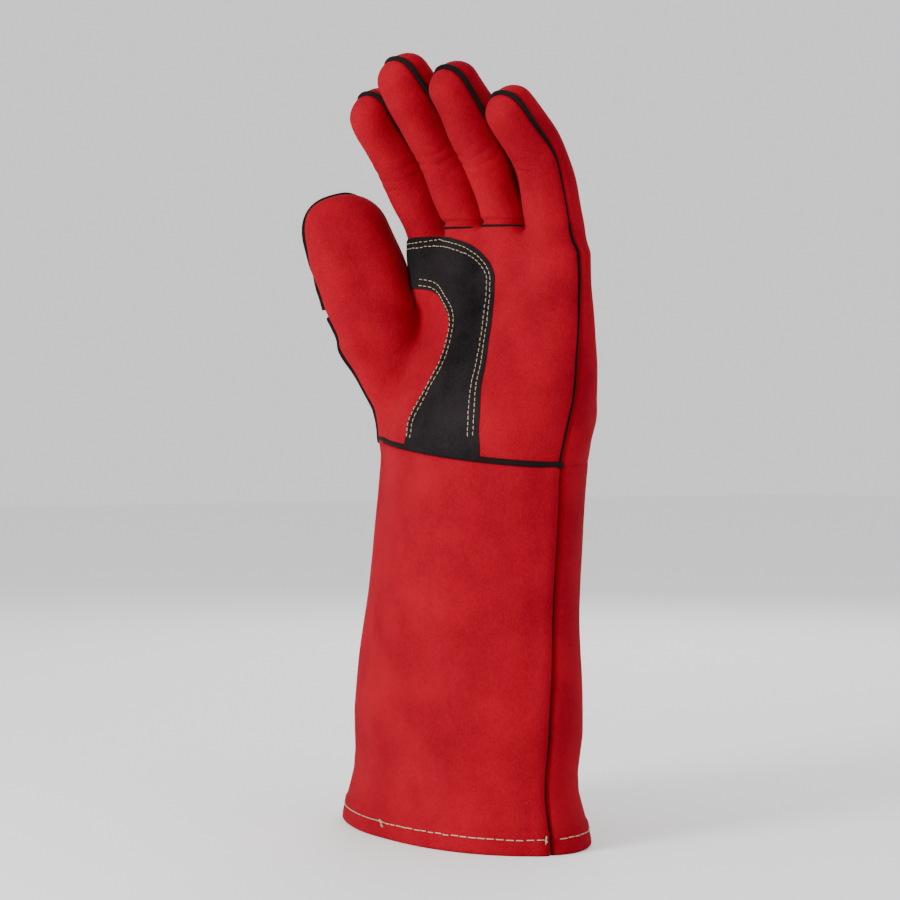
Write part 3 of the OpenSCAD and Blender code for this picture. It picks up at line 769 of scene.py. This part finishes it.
# Two rows of thread along each side of the patch, which stop short of the thumb.
rows = []
for line, insets, left in ((PATCH_EDGE, (-2.2, -5.0), -46), (PATCH_INNER, (-1.7, -4.9), -34)):
    for inset in insets:
        row = beside(line, inset)
        row = row[(row[:, 1] > WRIST[2] + 5) & (row[:, 0] > left)]
        p, n = palm_points(row)
        rows.append(stitches(p + n * 1.1, n, 2.9, 0.56, 0.2))
obj = piece("patch_stitches", join(rows), THREAD, ["patch_stitching"])
wrist_bend(obj)

# ---- Digits ----

for name in DIGITS:
    shape, surface = SHAPE[name], digit_surface(name)
    lo = shape.low + 8
    lo[2] = PART[name] - 5
    whole = skin(surface, lo, shape.high - 8, CELL)
    if name == "thumb":
        whole = cut(whole, shape.field(whole[0]) - hand_field(whole[0]) - 0.01)
    else:
        others = np.min([SHAPE[f].field(whole[0]) for f in FINGERS if f != name], axis=0)
        whole = cut(whole, shape.field(whole[0]) - others)
    whole = cut(whole, PART[name] - whole[0][:, 2])
    base = cut(whole, whole[0][:, 2] - BEND[name][0])
    end = cut(whole, BEND[name][0] - whole[0][:, 2])
    bend_base(piece(name + "_leather", thicken(base, LEATHER), RED,
                    [name + "_front", name + "_back"]), name)
    bend_tip(piece(name + "_tip_leather", thicken(end, LEATHER), RED,
                   [name + "_tip_front", name + "_tip_back"]), name)
    line = settle(surface, shape.rim(0, 0), 3)
    out = unit(slope(surface, line))
    height = (line[:, 2] - PART[name]) / (line[:, 2].max() - PART[name])
    proud = ease(height * 1.8 - (0.2 if name == "thumb" else 0.7))
    lift = -0.3 + 1.15 * proud
    if name == "thumb":
        across = shape.coords(line)[1]
        proud = np.maximum(proud * ease(1.4 - across / 12), ease(1.6 - height * 4) * (across < 0))
        lift = -0.5 + 1.9 * proud
    welt = tube(line + out * lift[:, None], 0.8 + 0.6 * proud)
    welt = cut(welt, PART[name] - welt[0][:, 2])
    base = cut(welt, welt[0][:, 2] - BEND[name][0])
    end = cut(welt, BEND[name][0] - welt[0][:, 2])
    bend_base(piece(name + "_piping", bare(base), WELT, [name + "_welt"]), name)
    bend_tip(piece(name + "_tip_piping", bare(end), WELT, [name + "_tip_welt"]), name)
    inner = skin(surface, lo, shape.high - 8, LINING_CELL, LINING_DEPTH)
    if name == "thumb":
        inner = cut(inner, shape.field(inner[0]) - hand_field(inner[0]) - 0.01)
    inner = cut(inner, PART[name] - inner[0][:, 2])
    base = cut(inner, inner[0][:, 2] - BEND[name][0])
    end = cut(inner, BEND[name][0] - inner[0][:, 2])
    bend_base(piece(name + "_fleece", thicken(base, LINING), LINEN,
                    [name + "_lining"]), name)
    bend_tip(piece(name + "_tip_fleece", thicken(end, LINING), LINEN,
                   [name + "_tip_lining"]), name)

# ---- Piping and lining of the hand ----

inner = skin(hand_surface, low, high, LINING_CELL, LINING_DEPTH)
inner = cut(inner, hand_limit(inner[0]))
inner = cut(inner, -TUCK - cuff_top(inner[0]))
wrist_bend(piece("hand_fleece", thicken(inner, LINING), LINEN, ["hand_lining"]))


def side_line(side, top, bottom):
    """The hand's side seam between two heights."""
    z = np.arange(top, bottom, -1.0)
    k = (z - WRIST[2]) / (KNUCKLE_MIDDLE[2] - WRIST[2])
    centre = WRIST + k[:, None] * (KNUCKLE_MIDDLE - WRIST)
    centre[:, 1] += PALM_ARCH * np.sin(math.pi * np.clip(k, 0, 1))
    centre[:, 1] += k ** 2 * (KNUCKLE_H[3] if side > 0 else KNUCKLE_H[0])
    centre[:, 0] += side * 62
    return settle(hand_surface, centre, 4)


def hand_piping(name, line, radius, lift, nodes):
    """A welt along a smoothed line on the hand, with its lift at the start and at the end."""
    line = resample(line, 1.0)
    for _ in range(150):
        line[3:-1] = (line[2:-2] + 2 * line[3:-1] + line[4:]) / 4
    line = settle(hand_surface, line, 3)
    out = unit(slope(hand_surface, line))
    lift = np.linspace(*lift, len(line))[:, None]
    wrist_bend(piece(name, bare(tube(line + out * lift, radius)), WELT, nodes))


little_seam = SHAPE["little"].seam(1, 12, 2)
little_seam = little_seam[little_seam[:, 2] < PART["little"]]
little_side = np.vstack([little_seam, side_line(1, KNUCKLES[3, 2] - 12, WRIST[2] - 9)])
hand_piping("little_side_piping", little_side, 1.05, (-0.1, -0.1), ["hand_little_side_welt"])
index_seam = SHAPE["index"].seam(-1, 12, 2)
index_seam = index_seam[index_seam[:, 2] < PART["index"]]
index_side = np.vstack([index_seam, side_line(-1, KNUCKLES[0, 2] - 12, 268)])
hand_piping("index_side_piping", index_side, 0.95, (-0.2, -0.2), ["hand_index_side_welt"])
thumb_seam = SHAPE["thumb"].seam(-1, 14, 0)
thumb_seam = thumb_seam[thumb_seam[:, 2] < PART["thumb"] + 1.5]
thumb_side = np.vstack([thumb_seam, WING.seam(-1, WING.length - 22, 4)])
hand_piping("thumb_side_piping", thumb_side, 1.35, (1.3, 0.2), ["thumb_wing_welt"])

# A dark cord of welt leather lies in the crease across the base of the two middle fingers, with a little
# thread below it.
base_dark_cords = []
for first, last, name in ((-18, 7, "middle"), (10, 37, "ring")):
    x = np.arange(first, last, 1.0)
    p, n = palm_points(np.stack([x, PART[name] - 0.3 - 0.06 * (x - x.mean())], axis=1))
    base_dark_cords.append(bare(tube(p + n * 0.1, 0.75)))
wrist_bend(piece("finger_base_dark_cord", join(base_dark_cords), WELT))
p, n = palm_points(np.stack([x, PART["ring"] - 2.0 - 0.06 * (x - x.mean())], axis=1))
wrist_bend(piece("finger_base_stitches", stitches(p, n, 3.2, 0.6, 0.18, 0.3), THREAD))

# ---- Cuff ----

HEM = 12.0             # height of the turned-in edge
HEM_STITCHES = 7.2
HEIGHT = WRIST[2]
RIM = 82.0, 46.0       # half sizes at the rim and at the wrist
WRIST_SIZE = 64.2, 44.0
TILT = math.atan2(-WRIST_AXIS[2], WRIST_AXIS[0])
# Half size at each height, as a share of a straight taper from rim to wrist.
PINCH = [(0, 1.01), (8, 1.0), (14, 0.985), (26, 0.945), (36, 0.94), (55, 0.972), (85, 0.972), (115, 0.962),
         (135, 0.962), (160, 0.975), (190, 1.0)]


def cuff_point(z, t):
    """A point on the cuff's outer side at height z and angle t."""
    k = z / HEIGHT
    pinch = np.interp(z, [q[0] for q in PINCH], [q[1] for q in PINCH])
    a = (RIM[0] + (WRIST_SIZE[0] - RIM[0]) * k) * pinch
    b = (RIM[1] + (WRIST_SIZE[1] - RIM[1]) * k) * pinch
    x = a * np.cos(t)
    y = b * np.sin(t) + WRIST[1] * k - 1.6 * np.sin(math.pi * k)
    return np.stack([x, y, k * (HEIGHT - x * math.tan(TILT))], axis=-1)


def cuff_normal(z, t):
    """The cuff's outward direction at height z and angle t."""
    e = 1e-3
    along = cuff_point(z, t + e) - cuff_point(z, t - e)
    up = cuff_point(np.clip(z + 1, 0, HEIGHT), t) - cuff_point(np.clip(z - 1, 0, HEIGHT), t)
    return unit(np.cross(along, up))


def little_seam_angle(z):
    """The front's edge lies a little to the palm side at the hem and on the side at the wrist."""
    return math.radians(-7.5) * (1 - ease(z / 150))


def thumb_seam_angle(z):
    """The seam on the thumb's side runs straight up."""
    return np.full_like(z, math.pi)


def cuff_panel(front):
    """The front or back panel: its mesh, thickness, points in rows and the rows' heights."""
    rows = np.concatenate([[0, 0.3, 0.9, 1.8], np.arange(3, HEIGHT - 1, 1.6), [HEIGHT - 0.6, HEIGHT]])
    u = np.linspace(0, 1, 150)
    u = u - 0.108 * np.sin(4 * math.pi * u) / (4 * math.pi)     # a little closer by the seams
    z = np.repeat(rows[:, None], len(u), axis=1)
    right, left = little_seam_angle(z), thumb_seam_angle(z)
    t = (left + (right + 2 * math.pi - left) * u) if front else (right + (left - right) * u)
    zf, tf = z.ravel(), t.ravel()
    p, n = cuff_point(zf, tf), cuff_normal(zf, tf)
    span = np.linalg.norm(np.gradient(p.reshape(z.shape + (3,)), axis=1), axis=2)
    run = np.cumsum(span, axis=1) - span[:, :1]
    to_start, to_end = run.ravel(), (run[:, -1:] - run).ravel()
    little, thumb = (to_end, to_start) if front else (to_start, to_end)
    lift = -softness(p * 0.5) * 0.9 - softness(p[:, [2, 0, 1]] * 0.3) * 1.3
    lift *= ease((HEIGHT - zf) / 20)
    lift += 0.9 * np.exp(-((little - 5) / 4) ** 2) if front else -0.4 * np.exp(-(little / 5) ** 2)
    roll = 3.2 if front else 4.0
    lift -= roll * (1 - np.sqrt(np.clip(1 - (1 - np.clip(little / 3.4, 0, 1)) ** 2, 0, 1)))
    lift -= 2.0 * (1 - np.sqrt(np.clip(1 - (1 - np.clip(thumb / 2.4, 0, 1)) ** 2, 0, 1)))
    lift += 0.7 * ease((HEM - zf) / 1.6 + 0.5) - 0.8 * np.exp(-((zf - HEM_STITCHES) / 0.8) ** 2)
    lift -= 1.2 * np.clip(1 - zf / 1.4, 0, 1) ** 2
    lip = 1.0 if front else 0.1
    lift += lip * 0.9 * np.exp(-((zf - HEIGHT + 3) / 3) ** 2)
    lift -= lip * 1.3 * np.clip(1 - (HEIGHT - zf) / 1.6, 0, 1) ** 2
    p = p + n * lift[:, None]
    p[:, 2] = np.maximum(p[:, 2], 0)
    g = p.reshape(z.shape + (3,))
    n = unit(np.cross(np.gradient(g, axis=1), np.gradient(g, axis=0))).reshape(-1, 3)
    i, j = np.meshgrid(np.arange(z.shape[0] - 1), np.arange(z.shape[1] - 1), indexing="ij")
    a = (i * z.shape[1] + j).ravel()
    w = z.shape[1]
    faces = np.vstack([np.stack([a, a + 1, a + w + 1], 1), np.stack([a, a + w + 1, a + w], 1)])
    thick = LEATHER + 1.7 * ease((HEM - zf) / 1.2 + 0.5)
    return (p, n, faces), thick, g, zf.reshape(z.shape)


panels = {}
for front, name, node in ((True, "cuff_front", "cuff_palm_panel"), (False, "cuff_back", "cuff_back_panel")):
    mesh, thick, grid, heights = cuff_panel(front)
    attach(piece(name, thicken(mesh, thick), RED, [node]), "gauntlet")
    panels[front] = (grid, heights)

# Hem stitching, with a small knot where each run was finished.
rows = []
for front in (True, False):
    grid, heights = panels[front]
    row = np.argmin(np.abs(heights[:, 0] - HEM_STITCHES))
    p = grid[row][3:-2]
    n = unit(np.cross(np.gradient(grid[row], axis=0), grid[row + 2] - grid[row - 2]))[3:-2]
    rows.append(stitches(p, n, 4.8, 0.72, 0.27, 0.3))
    if front:
        for k in (72, len(p) - 3):
            for _ in range(3):
                a = rng.normal(0, 1.4, 3) * (1, 0.3, 0.8)
                line = curve([p[k] + n[k] * 0.4 + a * 0.3, p[k] + n[k] * 1.0 + a,
                              p[k] + n[k] * 0.6 - a * 0.8 - [0, 0, 1.5]], 0.5)
                rows.append(bare(tube(line, 0.28, THREAD_SIDES)))
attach(piece("hem_thread", join(rows), THREAD, ["hem_stitching"]), "gauntlet")

z = np.linspace(1.5, HEIGHT - 1, 120)
for name, angle, node in (("cuff_little_piping", little_seam_angle(z), "cuff_little_side_welt"),
                          ("cuff_thumb_piping", thumb_seam_angle(z), "cuff_thumb_side_welt")):
    p, n = cuff_point(z, angle), cuff_normal(z, angle)
    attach(piece(name, bare(tube(p - n * 3.0, 1.3)), WELT, [node]), "gauntlet")

# The piping at the wrist, pushed out where the thumb's wing bulges over it.
t = np.linspace(math.pi, 2 * math.pi, 100)
ring = cuff_point(np.full(len(t), HEIGHT), t)
ring_out = cuff_normal(np.full(len(t), HEIGHT), t)
bulge = np.clip(-hand_surface(ring + WRIST_UP * 1.5), 0, 4)
for _ in range(6):
    bulge[1:-1] = (bulge[:-2] + 2 * bulge[1:-1] + bulge[2:]) / 4
ring = ring + ring_out * (bulge - 0.7)[:, None] + WRIST_UP * 0.6
size = 1.2 + 0.5 * ease((t / math.pi - 1) * 1.2)
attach(piece("wrist_piping", bare(tube(ring, size)), WELT, ["wrist_welt"]), "gauntlet")

# Lining inside the cuff.
zs, ts = np.linspace(HEM + 1, HEIGHT - 3, 60), np.linspace(0, 2 * math.pi, 97)[:-1]
zz, tt = np.meshgrid(zs, ts, indexing="ij")
p = cuff_point(zz.ravel(), tt.ravel())
n = cuff_normal(zz.ravel(), tt.ravel())
p = p - n * (3.4 - softness(p)[:, None])
i, j = np.meshgrid(np.arange(len(zs) - 1), np.arange(len(ts)), indexing="ij")
i, j = i.ravel(), j.ravel()
w = len(ts)
a, b = i * w + j, i * w + (j + 1) % w
faces = np.vstack([np.stack([a, b, b + w], 1), np.stack([a, b + w, a + w], 1)])
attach(piece("cuff_fleece", thicken((p, n, faces), 1.3), LINEN, ["cuff_lining"]), "gauntlet")

# ---- Studio ----

def plain(name, colour, rough):
    """A material of one colour."""
    m = bpy.data.materials.new(name)
    m.use_nodes = True
    b = m.node_tree.nodes["Principled BSDF"]
    b.inputs["Base Color"].default_value = (*colour, 1)
    b.inputs["Roughness"].default_value = rough
    return m


floor = bpy.data.meshes.new("floor")
floor.from_pydata([(-6, -6, 0), (6, -6, 0), (6, 6, 0), (-6, 6, 0)], [], [(0, 1, 2, 3)])
floor.materials.append(plain("paper", (0.93, 0.93, 0.93), 0.9))
floor = bpy.data.objects.new("floor", floor)
bpy.context.scene.collection.objects.link(floor)

world = bpy.data.worlds.new("studio")
bpy.context.scene.world = world
world.use_nodes = True
world.node_tree.nodes["Background"].inputs["Color"].default_value = (1, 1, 1, 1)
world.node_tree.nodes["Background"].inputs["Strength"].default_value = 1.0


def lamp(name, place, target, size, power):
    """A square area lamp."""
    data = bpy.data.lights.new(name, "AREA")
    data.shape = "SQUARE"
    data.size = size
    data.energy = power
    obj = bpy.data.objects.new(name, data)
    obj.location = place
    obj.rotation_euler = (Vector(target) - Vector(place)).to_track_quat("-Z", "Y").to_euler()
    bpy.context.scene.collection.objects.link(obj)


aim = Vector((WRIST[0] / MM - 0.0034, -0.0049, HEIGHT / MM))
lamp("key", (0.05, -1.35, 0.5), aim, 0.5, 25)
lamp("fill", (1.5, 0.3, 0.9), aim, 0.9, 6)
lamp("rim", (-0.9, 0.9, 1.0), aim, 0.8, 9)

data = bpy.data.cameras.new("camera")
data.lens = 88
data.sensor_width = 36
camera = bpy.data.objects.new("camera", data)
turn, distance = math.radians(55), 1.1
camera.location = aim + distance * Vector((math.sin(turn), -math.cos(turn), 0))
camera.rotation_euler = (aim - camera.location).to_track_quat("-Z", "Y").to_euler()
bpy.context.scene.collection.objects.link(camera)
bpy.context.scene.camera = camera
